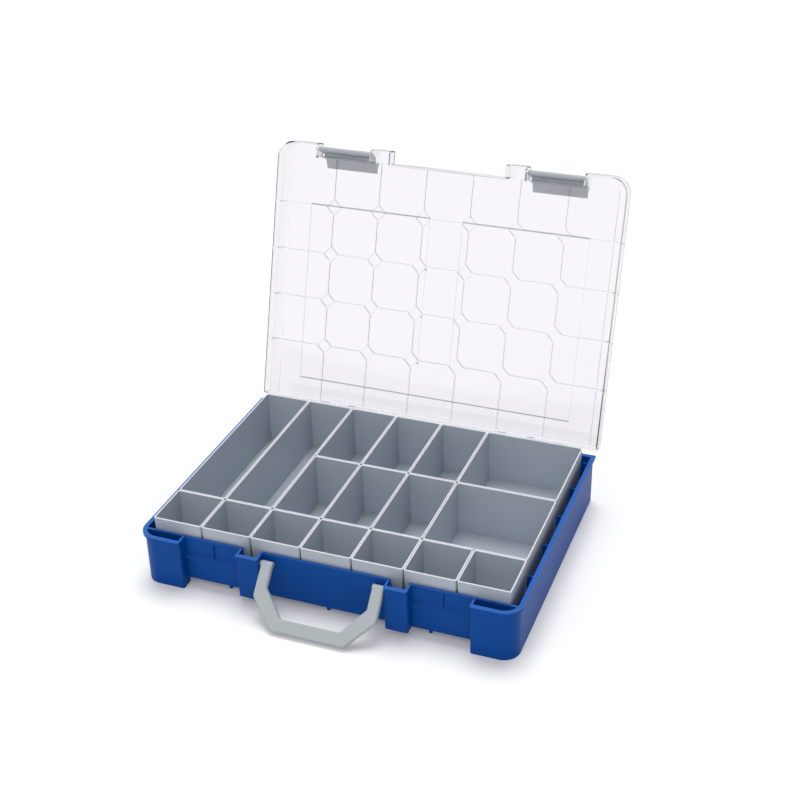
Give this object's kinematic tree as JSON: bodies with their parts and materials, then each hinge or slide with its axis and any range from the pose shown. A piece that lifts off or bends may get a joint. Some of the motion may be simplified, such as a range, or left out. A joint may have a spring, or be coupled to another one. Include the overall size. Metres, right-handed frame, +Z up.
{
  "type": "transit case",
  "caption": "Small-parts carry case with a clear hinged lid, front latches, a fold-up handle and loose lift-out bins on a square grid.",
  "frame": {"origin": "middle of the base's footprint, on the surface that the case stands on", "axes": "+Z up, +X to the right seen from the front, +Y from the handle back to the hinges"},
  "size_m": [0.41, 0.4593, 0.352],
  "materials": {
    "base": "blue moulded polypropylene, fine satin texture",
    "lid": "clear moulded polycarbonate, polished",
    "latch": "grey moulded plastic, satin",
    "handle": "pale grey moulded plastic, satin",
    "bin": "grey moulded polypropylene, satin",
    "pin": "plain drawn steel wire"
  },
  "bodies": {
    "base": {"base_shell": "base", "hinge_pin_left": "pin", "hinge_pin_right": "pin"},
    "lid": {"clear_lid": "lid"},
    "latch_left": {"latch_left": "latch"},
    "latch_right": {"latch_right": "latch"},
    "handle": {"carry_handle": "handle"},
    "front_bin_1": {"front_bin_1": "bin"},
    "front_bin_2": {"front_bin_2": "bin"},
    "front_bin_3": {"front_bin_3": "bin"},
    "front_bin_4": {"front_bin_4": "bin"},
    "front_bin_5": {"front_bin_5": "bin"},
    "front_bin_6": {"front_bin_6": "bin"},
    "front_bin_7": {"front_bin_7": "bin"},
    "long_bin_1": {"long_bin_1": "bin"},
    "long_bin_2": {"long_bin_2": "bin"},
    "mid_bin_3": {"mid_bin_3": "bin"},
    "rear_bin_3": {"rear_bin_3": "bin"},
    "mid_bin_4": {"mid_bin_4": "bin"},
    "rear_bin_4": {"rear_bin_4": "bin"},
    "mid_bin_5": {"mid_bin_5": "bin"},
    "rear_bin_5": {"rear_bin_5": "bin"},
    "wide_bin_front": {"wide_bin_front": "bin"},
    "wide_bin_rear": {"wide_bin_rear": "bin"}
  },
  "joints": [
    {"name": "lid_hinge", "type": "hinge", "parent": "base", "child": "lid", "pos_m": [0, 0.1549, 0.0585], "axis": [-1, 0, 0], "range_deg": [-106.5, 0]},
    {"name": "latch_left_pivot", "type": "hinge", "parent": "lid", "child": "latch_left", "pos_m": [-0.124, 0.24577, 0.34415], "axis": [-1, 0, 0], "range_deg": [-212, 0]},
    {"name": "latch_right_pivot", "type": "hinge", "parent": "lid", "child": "latch_right", "pos_m": [0.124, 0.24577, 0.34415], "axis": [-1, 0, 0], "range_deg": [-212, 0]},
    {"name": "handle_pivot", "type": "hinge", "parent": "base", "child": "handle", "pos_m": [0, -0.1423, 0.05], "axis": [-1, 0, 0], "range_deg": [0, 137]},
    {"name": "front_bin_1_lift", "type": "slide", "parent": "base", "child": "front_bin_1", "axis": [0, 0, 1], "range_m": [0, 0.07]},
    {"name": "front_bin_2_lift", "type": "slide", "parent": "base", "child": "front_bin_2", "axis": [0, 0, 1], "range_m": [0, 0.07]},
    {"name": "front_bin_3_lift", "type": "slide", "parent": "base", "child": "front_bin_3", "axis": [0, 0, 1], "range_m": [0, 0.07]},
    {"name": "front_bin_4_lift", "type": "slide", "parent": "base", "child": "front_bin_4", "axis": [0, 0, 1], "range_m": [0, 0.07]},
    {"name": "front_bin_5_lift", "type": "slide", "parent": "base", "child": "front_bin_5", "axis": [0, 0, 1], "range_m": [0, 0.07]},
    {"name": "front_bin_6_lift", "type": "slide", "parent": "base", "child": "front_bin_6", "axis": [0, 0, 1], "range_m": [0, 0.07]},
    {"name": "front_bin_7_lift", "type": "slide", "parent": "base", "child": "front_bin_7", "axis": [0, 0, 1], "range_m": [0, 0.07]},
    {"name": "long_bin_1_lift", "type": "slide", "parent": "base", "child": "long_bin_1", "axis": [0, 0, 1], "range_m": [0, 0.07]},
    {"name": "long_bin_2_lift", "type": "slide", "parent": "base", "child": "long_bin_2", "axis": [0, 0, 1], "range_m": [0, 0.07]},
    {"name": "mid_bin_3_lift", "type": "slide", "parent": "base", "child": "mid_bin_3", "axis": [0, 0, 1], "range_m": [0, 0.07]},
    {"name": "rear_bin_3_lift", "type": "slide", "parent": "base", "child": "rear_bin_3", "axis": [0, 0, 1], "range_m": [0, 0.07]},
    {"name": "mid_bin_4_lift", "type": "slide", "parent": "base", "child": "mid_bin_4", "axis": [0, 0, 1], "range_m": [0, 0.07]},
    {"name": "rear_bin_4_lift", "type": "slide", "parent": "base", "child": "rear_bin_4", "axis": [0, 0, 1], "range_m": [0, 0.07]},
    {"name": "mid_bin_5_lift", "type": "slide", "parent": "base", "child": "mid_bin_5", "axis": [0, 0, 1], "range_m": [0, 0.07]},
    {"name": "rear_bin_5_lift", "type": "slide", "parent": "base", "child": "rear_bin_5", "axis": [0, 0, 1], "range_m": [0, 0.07]},
    {"name": "wide_bin_front_lift", "type": "slide", "parent": "base", "child": "wide_bin_front", "axis": [0, 0, 1], "range_m": [0, 0.07]},
    {"name": "wide_bin_rear_lift", "type": "slide", "parent": "base", "child": "wide_bin_rear", "axis": [0, 0, 1], "range_m": [0, 0.07]}
  ]
}
